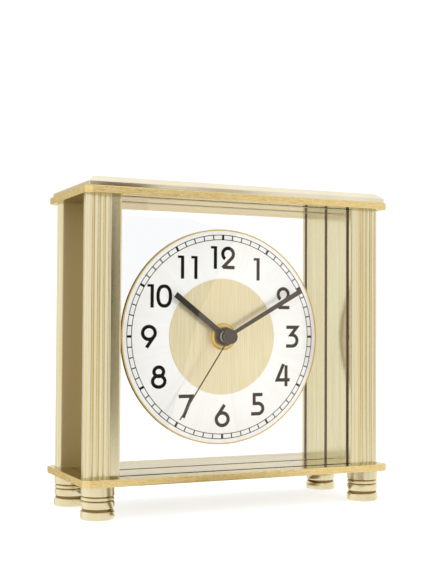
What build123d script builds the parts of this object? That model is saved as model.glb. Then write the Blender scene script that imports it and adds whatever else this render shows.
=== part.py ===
from build123d import *
from math import atan2, cos, degrees, radians, sin
import os

# Mantel clock: two brass plates joined by two reeded side frames, a glazed dial between
# them, four turned feet and a battery quartz movement behind the dial.
# Millimetres. X to the right, Y to the back, Z up. The origin is on the surface the
# clock stands on, under the middle of the case.

# ---- case ----
case_width = 150.0
case_depth = 57.5
plate_thickness = 3.2
plate_corner = 2.5
edge_break = 0.2
foot_height = 14.2
side_height = 120.4

plate_top = foot_height + plate_thickness
ceiling = plate_top + side_height
cap_base = ceiling + plate_thickness

cap_inset = 1.7
cap_face = 2.0
cap_bevel_in = 2.7
cap_bevel_up = 2.4

# ---- side frames ----
wall_inner = 57.4
wall_outer = 60.5
column_outer = 72.9
column_front = 23.1
column_back = 16.4
column_round = 2.0
reed_edges = (62.3, 64.5, 66.75, 69.35, 72.1)
reed_depth = 0.6
first_reed_depth = 0.25
corner_groove_depth = 1.1
corner_end = 2.5
corner_swell = (0.1, 1.6)

# ---- panes in their slots ----
slot_pitch = 20.0
slot_width = 2.6
slot_depth = 1.6
pane_thickness = 2.5
pane_side_gap = 0.1
pane_top_gap = 0.2

# ---- dial ----
dial_z = 77.1
dial_radius = 50.0
dial_hole = 4.1
glass_hole = 4.3
backing_thickness = 1.5
dial_thickness = 0.3
rim_width = 0.6
rim_proud = 0.15
disc_radius = 26.9
disc_thickness = 0.2

pane_front = -pane_thickness / 2
pane_rear = pane_thickness / 2
backing_front = pane_front - backing_thickness
dial_front = backing_front - dial_thickness
disc_front = dial_front - disc_thickness

# ---- feet and fasteners ----
foot_x = 66.0
foot_y = 19.6
foot_radius = 7.3
foot_neck = 7.15
foot_groove = 6.65
foot_edge_round = 0.9
foot_bevel = 0.3
foot_ring_top = 3.3
foot_groove_base = 3.7
foot_cone_base = 4.6
foot_cone_top = 5.5
foot_collar_top = 7.5
foot_bead_base = 8.1
foot_bead_top = 9.5
foot_neck_base = 9.8
stud_radius = 1.5
stud_clearance = 1.6
stud_in_foot = 8.0
stud_in_column = 12.0
screw_length = 12.0
screw_head_radius = 2.8
screw_head_gap = 0.1

# ---- hands: lengths, widths, clockwise angles from twelve, depths of their rear faces ----
blade = 0.4
collar_wall = 0.6
hour_length = 31.5
hour_width = 2.7
hour_angle = 307.5
hour_disc = 4.4
hour_rear = -5.9
hour_collar = 0.55
minute_length = 44.6
minute_width_hub = 1.7
minute_width_tip = 2.3
minute_angle = 60.5
minute_disc = 3.1
minute_rear = -8.4
minute_collar = 1.5
second_length = 44.8
second_width = 0.6
second_angle = 213.5
second_disc = 1.7
second_rear = -11.0
second_collar = 1.7
second_blade = 0.3
second_cap_radius = 3.4
second_cap_thickness = 1.1
second_cap_round = 0.3

# ---- hand nut, bush and the three concentric arbors ----
running_gap = 0.05
seconds_arbor = 0.6
minute_tube = 1.7
hour_tube = 2.7
bush_radius = 4.0
bush_front = -5.05
nut_radius = 6.3
nut_front = -4.9
nut_round = 1.1
seconds_arbor_front = -11.9
minute_tube_front = -8.9
hour_tube_front = -6.45

# ---- movement case ----
movement_size = 56.0
movement_corner = 2.0
washer_thickness = 1.5
washer_radius = 7.0
case_front = pane_rear + washer_thickness
case_wall = 1.2
front_wall = 1.5
cover_thickness = 1.5
movement_depth = 16.0
case_rear = case_front + movement_depth
cover_front = case_rear - cover_thickness
floor_y = case_front + front_wall
half_inner = movement_size / 2 - case_wall
divider_top = -11.4
divider_bottom = -12.4
bay_wall = 0.8
bay_floor = case_front + bay_wall
lug_x = 20.0
lower_lug_x = 18.0
lug_width = 6.0
lug_thickness = 1.0
lug_depth = 3.0
lug_gap = 1.0

# ---- train: tooth counts, modules and arbor places round the hand axis ----
pinion_teeth = 8
seconds_teeth = 32
third_teeth = 64
centre_teeth = 60
intermediate_teeth = 60
cannon_teeth = 16
motion_teeth = 48
motion_pinion_teeth = 14
hour_teeth = 56

third_distance = 9.0
third_bearing = 180.0
motion_distance = 9.6
motion_bearing = -20.0
intermediate_distance = 9.2
intermediate_bearing = 90.0
rotor_bearing = 30.0
rotor_module = 0.22

seconds_pinion_module = 2 * third_distance / (pinion_teeth + third_teeth)
third_pinion_module = 2 * third_distance / (pinion_teeth + centre_teeth)
intermediate_pinion_module = 2 * intermediate_distance / (pinion_teeth + seconds_teeth)
cannon_module = 2 * motion_distance / (cannon_teeth + motion_teeth)
motion_pinion_module = 2 * motion_distance / (motion_pinion_teeth + hour_teeth)
rotor_distance = rotor_module * (pinion_teeth + intermediate_teeth) / 2


def polar(start, distance, angle):
    """Point at a distance from start, at an angle anticlockwise from +X seen from the front."""
    return (start[0] + distance * cos(radians(angle)), start[1] + distance * sin(radians(angle)))


hand_axis = (0.0, 0.0)
third_axis = polar(hand_axis, third_distance, third_bearing)
motion_axis = polar(hand_axis, motion_distance, motion_bearing)
intermediate_axis = polar(hand_axis, intermediate_distance, intermediate_bearing)
rotor_axis = polar(intermediate_axis, rotor_distance, rotor_bearing)

wheel = 0.8
pinion = 1.0
hour_wheel_y = 4.6
motion_wheel_y = 5.9
centre_wheel_y = 7.2
third_wheel_y = 8.5
seconds_wheel_y = 9.8
intermediate_wheel_y = 11.0
pinion_lead = 0.1
tube_tail = 0.3
arbor = 0.5
motion_arbor = 0.6
rotor_arbor = 0.4
arbor_front = 3.35
arbor_rear = 18.15
boss_radius = 2.0
boss_front = 15.5

tooth_flank = 0.40
tooth_shoulder = 0.28
tooth_tip = 0.10
dedendum = 1.1
shoulder_height = 0.45
addendum = 0.8

# ---- stepping motor ----
magnet_radius = 2.5
magnet_front = 12.4
magnet_thickness = 2.0
stator_hole = 3.1
stator_front = 12.9
stator_thickness = 1.0
stator_low = 11.0
stator_high = 16.0
stator_top = 24.0
stator_left = -13.0
stator_right = 16.0
stator_leg = 4.0
stator_boss = 4.6
post_radius = 1.5
post_z = 13.5
post_x = (-11.0, 14.0)
motor_screw_radius = 0.8
motor_screw_head = 1.5
motor_screw_head_thickness = 0.8
motor_screw_depth = 5.0
coil_z = 22.0
coil_left = -8.0
coil_right = 11.0
coil_radius = 4.0
coil_flange = 1.0
core_height = 4.0
core_overhang = 1.0
bobbin_wall = 0.8
winding_inset = 0.3

# ---- electronics and battery ----
board_thickness = 1.0
board_left = -26.2
board_inner = -15.0
board_top = 24.0
board_low = -11.0
board_strip_top = -6.0
chip_radius = 2.5
chip_thickness = 1.0
chip_round = 0.6
chip_place = (-20.6, -1.0)
crystal_radius = 1.0
crystal_length = 6.0
crystal_place = (-20.6, 9.0)
battery_radius = 7.0
battery_z = -19.6
battery_y = 10.9
battery_left = -24.3
battery_right = 25.2
battery_round = 0.5
nub_radius = 2.75
nub_length = 1.2
contact_thickness = 0.4
contact_low = -25.0
contact_high = -8.0
contact_front = 7.0
contact_rear = 14.6
bow_end = 0.5
bow_height = 6.0

knob_radius = 4.6
knob_front = 19.15
knob_thickness = 3.0
knob_end = 1.0
knob_lip = 1.4
knob_dish = 0.6
knob_grooves = 20
knob_groove_radius = 0.35

os.makedirs("parts", exist_ok=True)


def facing(y, axis=hand_axis):
    """Sketch plane seen from the front at depth y, centred on an arbor; it extrudes forwards."""
    return Plane(origin=(axis[0], y, dial_z + axis[1]), x_dir=(1, 0, 0), z_dir=(0, -1, 0))


def disc(radius, front, rear, axis=hand_axis, mode=Mode.ADD):
    """A round slab or hole between two depths, about an arbor."""
    with BuildSketch(facing(rear, axis)) as outline:
        Circle(radius)
    extrude(outline.sketch, amount=rear - front, mode=mode)


def block(low, high, front, rear, mode=Mode.ADD):
    """A box between two corners given as (x, z) from the hand axis, and two depths."""
    with BuildSketch(facing(rear)) as outline:
        with Locations(((low[0] + high[0]) / 2, (low[1] + high[1]) / 2)):
            Rectangle(high[0] - low[0], high[1] - low[1])
    extrude(outline.sketch, amount=rear - front, mode=mode)


def mesh_phase(driver, driven, driven_teeth):
    """Angles of a tooth on each of two meshing gears, one tooth of the first in a gap of the second."""
    line = degrees(atan2(driven[1] - driver[1], driven[0] - driver[0]))
    return line, line + 180 + 180 / driven_teeth


def gear(teeth, module, phase, front, thickness, axis=hand_axis):
    """A toothed disc: straight radial flanks below the pitch circle and a pointed arch above it."""
    pitch_radius = teeth * module / 2
    rising = (
        (pitch_radius - dedendum * module, tooth_flank),
        (pitch_radius, tooth_flank),
        (pitch_radius + shoulder_height * module, tooth_shoulder),
        (pitch_radius + addendum * module, tooth_tip),
    )
    half_pitch = 180 / teeth
    points = []
    for tooth in range(teeth):
        middle = phase + 2 * half_pitch * tooth
        for radius, share in rising:
            points.append(polar((0, 0), radius, middle - share * half_pitch))
        for radius, share in reversed(rising):
            points.append(polar((0, 0), radius, middle + share * half_pitch))
    with BuildSketch(facing(front + thickness, axis)) as outline:
        with BuildLine():
            Polyline(*points, close=True)
        make_face()
    extrude(outline.sketch, amount=thickness)


seconds_phase, third_phase = mesh_phase(hand_axis, third_axis, third_teeth)
third_pinion_phase, centre_phase = mesh_phase(third_axis, hand_axis, centre_teeth)
inter_pinion_phase, seconds_wheel_phase = mesh_phase(intermediate_axis, hand_axis, seconds_teeth)
rotor_phase, intermediate_phase = mesh_phase(rotor_axis, intermediate_axis, intermediate_teeth)
cannon_phase, motion_phase = mesh_phase(hand_axis, motion_axis, motion_teeth)
motion_pinion_phase, hour_phase = mesh_phase(motion_axis, hand_axis, hour_teeth)

# ================= case =================

# Base plate: clipped corners and a clearance hole over each foot.
with BuildPart() as base_plate:
    with BuildSketch(Plane.XY.offset(foot_height)) as base_outline:
        Rectangle(case_width, case_depth)
        chamfer(base_outline.vertices(), length=plate_corner)
    extrude(amount=plate_thickness)
    chamfer(base_plate.faces().filter_by(Axis.Z).edges(), length=edge_break)
    with BuildSketch(Plane.XY.offset(foot_height)):
        with GridLocations(2 * foot_x, 2 * foot_y, 2, 2):
            Circle(stud_clearance)
    extrude(amount=plate_thickness, mode=Mode.SUBTRACT)
base_plate.part.label = "base_plate"
export_step(base_plate.part, "parts/base_plate.step")

# Top plate: the same outline, with countersunk holes over the columns.
with BuildPart() as top_plate:
    with BuildSketch(Plane.XY.offset(ceiling)) as top_outline:
        Rectangle(case_width, case_depth)
        chamfer(top_outline.vertices(), length=plate_corner)
    extrude(amount=plate_thickness)
    chamfer(top_plate.faces().filter_by(Axis.Z).edges(), length=edge_break)
    with Locations(Plane.XY.offset(cap_base)):
        with GridLocations(2 * foot_x, 2 * foot_y, 2, 2):
            CounterSinkHole(
                radius=stud_clearance,
                counter_sink_radius=screw_head_radius + screw_head_gap,
                depth=plate_thickness,
            )
top_plate.part.label = "top_plate"
export_step(top_plate.part, "parts/top_plate.step")

# Top cap: a bevelled slab bonded over the screw heads.
cap_width = case_width - 2 * cap_inset
cap_depth = case_depth - 2 * cap_inset
with BuildPart() as top_cap:
    with BuildSketch(Plane.XY.offset(cap_base)):
        Rectangle(cap_width, cap_depth)
    extrude(amount=cap_face)
    with BuildSketch(Plane.XY.offset(cap_base + cap_face)):
        Rectangle(cap_width, cap_depth)
    extrude(amount=cap_bevel_up, taper=degrees(atan2(cap_bevel_in, cap_bevel_up)))
top_cap.part.label = "top_cap"
export_step(top_cap.part, "parts/top_cap.step")

# Side frames: one extruded section each, a thin web between a front and a rear column.
# The inner face has three pane slots; each column is reeded on its outer face and rounded behind it.
round_sag = column_round * (1 - cos(radians(45)))
for side_name, side in (("left", -1), ("right", 1)):
    with BuildPart() as side_frame:
        with BuildSketch(Plane.XY.offset(plate_top)):
            with Locations((side * (wall_inner + wall_outer) / 2, 0)):
                Rectangle(wall_outer - wall_inner, 2 * column_back)
            for end in (-1, 1):
                valley = end * (column_front - reed_depth)
                crest = end * column_front
                corner_valley = end * (column_front - corner_groove_depth)
                corner_start = end * (column_front - corner_end)
                first_valley = end * (column_front - first_reed_depth)
                with BuildLine():
                    Polyline(
                        (side * reed_edges[0], first_valley),
                        (side * (reed_edges[0] - first_reed_depth), crest),
                        (side * wall_inner, crest),
                        (side * wall_inner, end * column_back),
                        (side * (column_outer - column_round), end * column_back),
                    )
                    ThreePointArc(
                        (side * (column_outer - column_round), end * column_back),
                        (side * (column_outer - round_sag), end * (column_back + round_sag)),
                        (side * column_outer, end * (column_back + column_round)),
                    )
                    Line(
                        (side * column_outer, end * (column_back + column_round)),
                        (side * column_outer, corner_start),
                    )
                    ThreePointArc(
                        (side * column_outer, corner_start),
                        (side * (column_outer - corner_swell[0]), end * (column_front - corner_swell[1])),
                        (side * reed_edges[-1], corner_valley),
                    )
                    for inner, outer in zip(reed_edges[:-1], reed_edges[1:]):
                        inner_y = first_valley if inner == reed_edges[0] else valley
                        outer_y = corner_valley if outer == reed_edges[-1] else valley
                        ThreePointArc(
                            (side * inner, inner_y),
                            (side * (inner + outer) / 2, crest),
                            (side * outer, outer_y),
                        )
                make_face()
            slot_x = side * (wall_inner + slot_depth / 2)
            with Locations([(slot_x, n * slot_pitch) for n in (-1, 0, 1)]):
                Rectangle(slot_depth, slot_width, mode=Mode.SUBTRACT)
        extrude(amount=side_height)
        for hole_floor, hole_depth in (
            (plate_top, stud_in_column),
            (ceiling - screw_length, screw_length),
        ):
            with BuildSketch(Plane.XY.offset(hole_floor)):
                with Locations((side * foot_x, -foot_y), (side * foot_x, foot_y)):
                    Circle(stud_radius)
            extrude(amount=hole_depth, mode=Mode.SUBTRACT)
    side_frame.part.label = side_name + "_side_frame"
    export_step(side_frame.part, "parts/" + side_name + "_side_frame.step")

# Feet: turned brass, from the floor up a rounded ring, a groove, a coned collar, a bead and a neck.
foot_names = {
    (-1, -1): "front_left_foot",
    (1, -1): "front_right_foot",
    (-1, 1): "rear_left_foot",
    (1, 1): "rear_right_foot",
}
edge_sag = foot_edge_round * (1 - cos(radians(45)))
for (side, end), foot_name in foot_names.items():
    foot_middle = (side * foot_x, end * foot_y, 0)
    with BuildPart() as foot:
        with BuildSketch(Plane(origin=foot_middle, x_dir=(1, 0, 0), z_dir=(0, -1, 0))):
            with BuildLine():
                Line((0, 0), (foot_radius - foot_edge_round, 0))
                ThreePointArc(
                    (foot_radius - foot_edge_round, 0),
                    (foot_radius - edge_sag, edge_sag),
                    (foot_radius, foot_edge_round),
                )
                Polyline(
                    (foot_radius, foot_edge_round),
                    (foot_radius, foot_ring_top),
                    (foot_radius - foot_bevel, foot_ring_top + foot_bevel),
                    (foot_groove, foot_groove_base),
                    (foot_groove, foot_cone_base),
                    (foot_neck, foot_cone_top),
                    (foot_neck, foot_collar_top),
                    (foot_groove, foot_collar_top + foot_bevel),
                    (foot_groove, foot_bead_base),
                )
                ThreePointArc(
                    (foot_groove, foot_bead_base),
                    (foot_neck, (foot_bead_base + foot_bead_top) / 2),
                    (foot_groove, foot_bead_top),
                )
                Polyline(
                    (foot_groove, foot_bead_top),
                    (foot_groove, foot_neck_base),
                    (foot_neck, foot_neck_base + foot_bevel),
                    (foot_neck, foot_height),
                    (0, foot_height),
                    (0, 0),
                )
            make_face()
        revolve(axis=Axis(foot_middle, (0, 0, 1)))
        with BuildSketch(Plane.XY.offset(foot_height - stud_in_foot)):
            with Locations((side * foot_x, end * foot_y)):
                Circle(stud_radius)
        extrude(amount=stud_in_foot, mode=Mode.SUBTRACT)
    foot.part.label = foot_name
    export_step(foot.part, "parts/" + foot_name + ".step")

# Foot studs: four threaded rods that clamp foot, base plate and column together.
with BuildPart() as foot_studs:
    with BuildSketch(Plane.XY.offset(foot_height - stud_in_foot)):
        with GridLocations(2 * foot_x, 2 * foot_y, 2, 2):
            Circle(stud_radius)
    extrude(amount=stud_in_foot + plate_thickness + stud_in_column)
foot_studs.part.label = "foot_studs"
export_step(foot_studs.part, "parts/foot_studs.step")

# Top screws: countersunk, into the column ends, covered by the cap.
head_depth = screw_head_radius - stud_radius
with BuildPart() as top_screws:
    with BuildSketch(Plane.XY.offset(ceiling - screw_length)):
        with GridLocations(2 * foot_x, 2 * foot_y, 2, 2):
            Circle(stud_radius)
    extrude(amount=screw_length + plate_thickness - head_depth)
    for x in (-foot_x, foot_x):
        for y in (-foot_y, foot_y):
            with BuildSketch(Plane.XY.offset(cap_base - head_depth)):
                with Locations((x, y)):
                    Circle(stud_radius)
            with BuildSketch(Plane.XY.offset(cap_base)):
                with Locations((x, y)):
                    Circle(screw_head_radius)
            loft()
top_screws.part.label = "top_screws"
export_step(top_screws.part, "parts/top_screws.step")

# ================= panes and dial =================

pane_half_width = wall_inner + slot_depth - pane_side_gap
pane_height = side_height - pane_top_gap

# Front glass: slides in the front slots and stands on the base plate.
with BuildPart() as front_glass:
    with BuildSketch(Plane.XY.offset(plate_top)):
        with Locations((0, -slot_pitch)):
            Rectangle(2 * pane_half_width, pane_thickness)
    extrude(amount=pane_height)
front_glass.part.label = "front_glass"
export_step(front_glass.part, "parts/front_glass.step")

# Dial glass: the middle pane, bored for the bush; it carries the dial and the movement.
with BuildPart() as dial_glass:
    with BuildSketch(Plane.XY.offset(plate_top)):
        Rectangle(2 * pane_half_width, pane_thickness)
    extrude(amount=pane_height)
    disc(glass_hole, pane_front, pane_rear, mode=Mode.SUBTRACT)
dial_glass.part.label = "dial_glass"
export_step(dial_glass.part, "parts/dial_glass.step")

# Dial backing: a black board that shows as the dial's dark edge.
with BuildPart() as dial_backing:
    disc(dial_radius, backing_front, pane_front)
    disc(dial_hole, backing_front, pane_front, mode=Mode.SUBTRACT)
dial_backing.part.label = "dial_backing"
export_step(dial_backing.part, "parts/dial_backing.step")

# Dial plate: the thin white disc that the numerals and the minute track are printed on.
with BuildPart() as dial_plate:
    disc(dial_radius - rim_width, dial_front, backing_front)
    disc(dial_hole, dial_front, backing_front, mode=Mode.SUBTRACT)
dial_plate.part.label = "dial_plate"
export_step(dial_plate.part, "parts/dial_plate.step")

# Dial rim: a thin brass ring round the dial plate, on the backing.
with BuildPart() as dial_rim:
    disc(dial_radius, dial_front - rim_proud, backing_front)
    disc(dial_radius - rim_width, dial_front - rim_proud, backing_front, mode=Mode.SUBTRACT)
dial_rim.part.label = "dial_rim"
export_step(dial_rim.part, "parts/dial_rim.step")

# Centre disc: brushed brass foil on the middle of the dial plate.
with BuildPart() as dial_centre_disc:
    disc(disc_radius, disc_front, dial_front)
    disc(dial_hole, disc_front, dial_front, mode=Mode.SUBTRACT)
dial_centre_disc.part.label = "dial_centre_disc"
export_step(dial_centre_disc.part, "parts/dial_centre_disc.step")

# Hand nut: a round brass nut with a domed edge, which clamps dial and glass to the movement.
with BuildPart() as hand_nut:
    disc(nut_radius, nut_front, disc_front)
    fillet(hand_nut.faces().sort_by(Axis.Y)[0].edges(), radius=nut_round)
    disc(bush_radius, nut_front, disc_front, mode=Mode.SUBTRACT)
hand_nut.part.label = "hand_nut"
export_step(hand_nut.part, "parts/hand_nut.step")

# Rubber washer between the movement and the back of the dial glass.
with BuildPart() as rubber_washer:
    disc(washer_radius, pane_rear, case_front)
    disc(bush_radius, pane_rear, case_front, mode=Mode.SUBTRACT)
rubber_washer.part.label = "rubber_washer"
export_step(rubber_washer.part, "parts/rubber_washer.step")

# ================= hands =================


def baton(length, hub_width, tip_width, angle, front, rear):
    """A straight hand from the axis to its tip, at a clockwise angle from twelve."""
    along = (sin(radians(angle)), cos(radians(angle)))
    corners = ((0, -hub_width / 2), (length, -tip_width / 2), (length, tip_width / 2), (0, hub_width / 2))
    points = [(out * along[0] + off * along[1], out * along[1] - off * along[0]) for out, off in corners]
    with BuildSketch(facing(rear)) as outline:
        with BuildLine():
            Polyline(*points, close=True)
        make_face()
    extrude(outline.sketch, amount=rear - front)


# Hour hand: pressed on the hour wheel's tube.
with BuildPart() as hour_hand:
    baton(hour_length, hour_width, hour_width, hour_angle, hour_rear - blade, hour_rear)
    disc(hour_disc, hour_rear - blade, hour_rear)
    disc(hour_tube + collar_wall, hour_rear, hour_rear + hour_collar)
    disc(hour_tube, hour_rear - blade, hour_rear + hour_collar, mode=Mode.SUBTRACT)
hour_hand.part.label = "hour_hand"
export_step(hour_hand.part, "parts/hour_hand.step")

# Minute hand: pressed on the cannon pinion's tube.
with BuildPart() as minute_hand:
    baton(
        minute_length, minute_width_hub, minute_width_tip, minute_angle, minute_rear - blade, minute_rear
    )
    disc(minute_disc, minute_rear - blade, minute_rear)
    disc(minute_tube + collar_wall, minute_rear, minute_rear + minute_collar)
    disc(minute_tube, minute_rear - blade, minute_rear + minute_collar, mode=Mode.SUBTRACT)
minute_hand.part.label = "minute_hand"
export_step(minute_hand.part, "parts/minute_hand.step")

cap_rear = second_rear - second_blade

# Second hand: a needle on a short socket pressed on the seconds arbor.
with BuildPart() as second_hand:
    baton(second_length, second_width, second_width, second_angle, cap_rear, second_rear)
    disc(second_disc, cap_rear, second_rear)
    disc(seconds_arbor + collar_wall, second_rear, second_rear + second_collar)
    disc(seconds_arbor, cap_rear, second_rear + second_collar, mode=Mode.SUBTRACT)
second_hand.part.label = "second_hand"
export_step(second_hand.part, "parts/second_hand.step")

# Second hand cap: a round button over the end of the seconds arbor.
with BuildPart() as second_hand_cap:
    disc(second_cap_radius, cap_rear - second_cap_thickness, cap_rear)
    fillet(second_hand_cap.faces().sort_by(Axis.Y)[0].edges(), radius=second_cap_round)
    disc(seconds_arbor, seconds_arbor_front, cap_rear, mode=Mode.SUBTRACT)
second_hand_cap.part.label = "second_hand_cap"
export_step(second_hand_cap.part, "parts/second_hand_cap.step")

# ================= movement =================

# Case: an open box with a threaded bush in front and a battery bay along the bottom.
with BuildPart() as movement_case:
    with BuildSketch(facing(floor_y)):
        RectangleRounded(movement_size, movement_size, movement_corner)
    extrude(amount=front_wall)
    with BuildSketch(facing(cover_front)):
        RectangleRounded(movement_size, movement_size, movement_corner)
        Rectangle(2 * half_inner, 2 * half_inner, mode=Mode.SUBTRACT)
        with Locations((0, (divider_top + divider_bottom) / 2)):
            Rectangle(2 * half_inner, divider_top - divider_bottom)
    extrude(amount=cover_front - floor_y)
    with BuildSketch(facing(case_rear)):
        RectangleRounded(movement_size, movement_size, movement_corner)
        with Locations((0, movement_size / 2 + divider_bottom)):
            Rectangle(movement_size, movement_size, mode=Mode.SUBTRACT)
        with Locations((0, divider_bottom / 2 - half_inner / 2)):
            Rectangle(2 * half_inner, half_inner + divider_bottom, mode=Mode.SUBTRACT)
    extrude(amount=cover_thickness)
    block(
        (-half_inner, -half_inner), (half_inner, divider_bottom), bay_floor, floor_y, mode=Mode.SUBTRACT
    )
    for side in (-1, 1):
        low_x = min(side * half_inner, side * (half_inner - 2 * contact_thickness))
        block(
            (low_x, divider_bottom),
            (low_x + 2 * contact_thickness, divider_top),
            contact_front - contact_thickness,
            cover_front,
            mode=Mode.SUBTRACT,
        )
    for x in post_x:
        disc(post_radius, floor_y, stator_front, (x, post_z))
        disc(
            motor_screw_radius,
            stator_front - motor_screw_depth,
            stator_front,
            (x, post_z),
            mode=Mode.SUBTRACT,
        )
    disc(bush_radius, bush_front, case_front)
    disc(hour_tube + running_gap, bush_front, floor_y, mode=Mode.SUBTRACT)
    for axis, radius in (
        (third_axis, arbor),
        (intermediate_axis, arbor),
        (rotor_axis, rotor_arbor),
        (motion_axis, motion_arbor),
    ):
        disc(radius + running_gap, arbor_front - running_gap, floor_y, axis, mode=Mode.SUBTRACT)
movement_case.part.label = "movement_case"
export_step(movement_case.part, "parts/movement_case.step")

# Rear cover: closes the train and motor and carries the rear bearings; the battery bay stays open.
with BuildPart() as movement_cover:
    with BuildSketch(facing(case_rear)):
        RectangleRounded(movement_size, movement_size, movement_corner)
        with Locations((0, divider_bottom - movement_size / 2)):
            Rectangle(movement_size, movement_size, mode=Mode.SUBTRACT)
    extrude(amount=cover_thickness)
    for axis, radius in (
        (hand_axis, seconds_arbor),
        (third_axis, arbor),
        (intermediate_axis, arbor),
        (rotor_axis, rotor_arbor),
    ):
        disc(boss_radius, boss_front, cover_front, axis)
        disc(radius + running_gap, boss_front, arbor_rear + running_gap, axis, mode=Mode.SUBTRACT)
    disc(boss_radius, boss_front, cover_front, motion_axis)
    disc(motion_arbor + running_gap, boss_front, case_rear, motion_axis, mode=Mode.SUBTRACT)
    upper_lug_z = half_inner - lug_thickness
    for x, z in ((-lug_x, upper_lug_z), (lug_x, upper_lug_z), (lower_lug_x, divider_top)):
        block(
            (x - lug_width / 2, z),
            (x + lug_width / 2, z + lug_thickness),
            cover_front - lug_depth,
            cover_front,
        )
movement_cover.part.label = "movement_cover"
export_step(movement_cover.part, "parts/movement_cover.step")

# Hour wheel with its tube, which carries the hour hand.
with BuildPart() as hour_wheel:
    gear(hour_teeth, motion_pinion_module, hour_phase, hour_wheel_y, wheel)
    disc(hour_tube, hour_tube_front, hour_wheel_y + wheel)
    disc(minute_tube + running_gap, hour_tube_front, hour_wheel_y + wheel, mode=Mode.SUBTRACT)
hour_wheel.part.label = "hour_wheel"
export_step(hour_wheel.part, "parts/hour_wheel.step")

# Cannon pinion with its tube, which carries the minute hand and the friction-held centre wheel.
with BuildPart() as cannon_pinion:
    gear(cannon_teeth, cannon_module, cannon_phase, motion_wheel_y - pinion_lead, pinion)
    disc(minute_tube, minute_tube_front, third_wheel_y - tube_tail)
    disc(seconds_arbor + running_gap, minute_tube_front, third_wheel_y - tube_tail, mode=Mode.SUBTRACT)
cannon_pinion.part.label = "cannon_pinion"
export_step(cannon_pinion.part, "parts/cannon_pinion.step")

knob_rear = knob_front + knob_thickness

# Motion wheel with its pinion and the long arbor that reaches the set knob.
with BuildPart() as motion_wheel:
    gear(motion_teeth, cannon_module, motion_phase, motion_wheel_y, wheel, motion_axis)
    gear(
        motion_pinion_teeth,
        motion_pinion_module,
        motion_pinion_phase,
        hour_wheel_y - pinion_lead,
        motion_wheel_y - hour_wheel_y + pinion_lead,
        motion_axis,
    )
    disc(motion_arbor, arbor_front, knob_rear - knob_end, motion_axis)
motion_wheel.part.label = "motion_wheel"
export_step(motion_wheel.part, "parts/motion_wheel.step")

# Set knob: finger-grooved, on the end of the motion arbor.
with BuildPart() as set_knob:
    with BuildSketch(facing(knob_rear, motion_axis)):
        Circle(knob_radius)
        with PolarLocations(knob_radius, knob_grooves):
            Circle(knob_groove_radius, mode=Mode.SUBTRACT)
    extrude(amount=knob_thickness)
    disc(motion_arbor, knob_front, knob_rear - knob_end, motion_axis, mode=Mode.SUBTRACT)
    disc(knob_radius - knob_lip, knob_rear - knob_dish, knob_rear, motion_axis, mode=Mode.SUBTRACT)
set_knob.part.label = "set_knob"
export_step(set_knob.part, "parts/set_knob.step")

# Centre wheel: turns once an hour round the tail of the cannon pinion.
with BuildPart() as centre_wheel:
    gear(centre_teeth, third_pinion_module, centre_phase, centre_wheel_y, wheel)
    disc(minute_tube + running_gap, centre_wheel_y, centre_wheel_y + wheel, mode=Mode.SUBTRACT)
centre_wheel.part.label = "centre_wheel"
export_step(centre_wheel.part, "parts/centre_wheel.step")

# Third wheel with its pinion and arbor.
with BuildPart() as third_wheel:
    gear(third_teeth, seconds_pinion_module, third_phase, third_wheel_y, wheel, third_axis)
    gear(
        pinion_teeth,
        third_pinion_module,
        third_pinion_phase,
        centre_wheel_y - pinion_lead,
        third_wheel_y - centre_wheel_y + pinion_lead,
        third_axis,
    )
    disc(arbor, arbor_front, arbor_rear, third_axis)
third_wheel.part.label = "third_wheel"
export_step(third_wheel.part, "parts/third_wheel.step")

# Seconds wheel with its pinion on the long arbor that carries the second hand.
with BuildPart() as seconds_wheel:
    gear(seconds_teeth, intermediate_pinion_module, seconds_wheel_phase, seconds_wheel_y, wheel)
    gear(
        pinion_teeth,
        seconds_pinion_module,
        seconds_phase,
        third_wheel_y - pinion_lead,
        seconds_wheel_y - third_wheel_y + pinion_lead,
    )
    disc(seconds_arbor, seconds_arbor_front, arbor_rear)
seconds_wheel.part.label = "seconds_wheel"
export_step(seconds_wheel.part, "parts/seconds_wheel.step")

# Intermediate wheel with its pinion and arbor.
with BuildPart() as intermediate_wheel:
    gear(
        intermediate_teeth,
        rotor_module,
        intermediate_phase,
        intermediate_wheel_y,
        wheel,
        intermediate_axis,
    )
    gear(
        pinion_teeth,
        intermediate_pinion_module,
        inter_pinion_phase,
        seconds_wheel_y - pinion_lead,
        intermediate_wheel_y - seconds_wheel_y + pinion_lead,
        intermediate_axis,
    )
    disc(arbor, arbor_front, arbor_rear, intermediate_axis)
intermediate_wheel.part.label = "intermediate_wheel"
export_step(intermediate_wheel.part, "parts/intermediate_wheel.step")

# Rotor: pinion and arbor of the stepping motor.
with BuildPart() as rotor_pinion:
    gear(
        pinion_teeth,
        rotor_module,
        rotor_phase,
        intermediate_wheel_y - pinion_lead,
        magnet_front - intermediate_wheel_y + pinion_lead,
        rotor_axis,
    )
    disc(rotor_arbor, arbor_front, arbor_rear, rotor_axis)
rotor_pinion.part.label = "rotor_pinion"
export_step(rotor_pinion.part, "parts/rotor_pinion.step")

# Rotor magnet: a ring on the rotor arbor.
with BuildPart() as rotor_magnet:
    disc(magnet_radius, magnet_front, magnet_front + magnet_thickness, rotor_axis)
    disc(rotor_arbor, magnet_front, magnet_front + magnet_thickness, rotor_axis, mode=Mode.SUBTRACT)
rotor_magnet.part.label = "rotor_magnet"
export_step(rotor_magnet.part, "parts/rotor_magnet.step")

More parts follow.
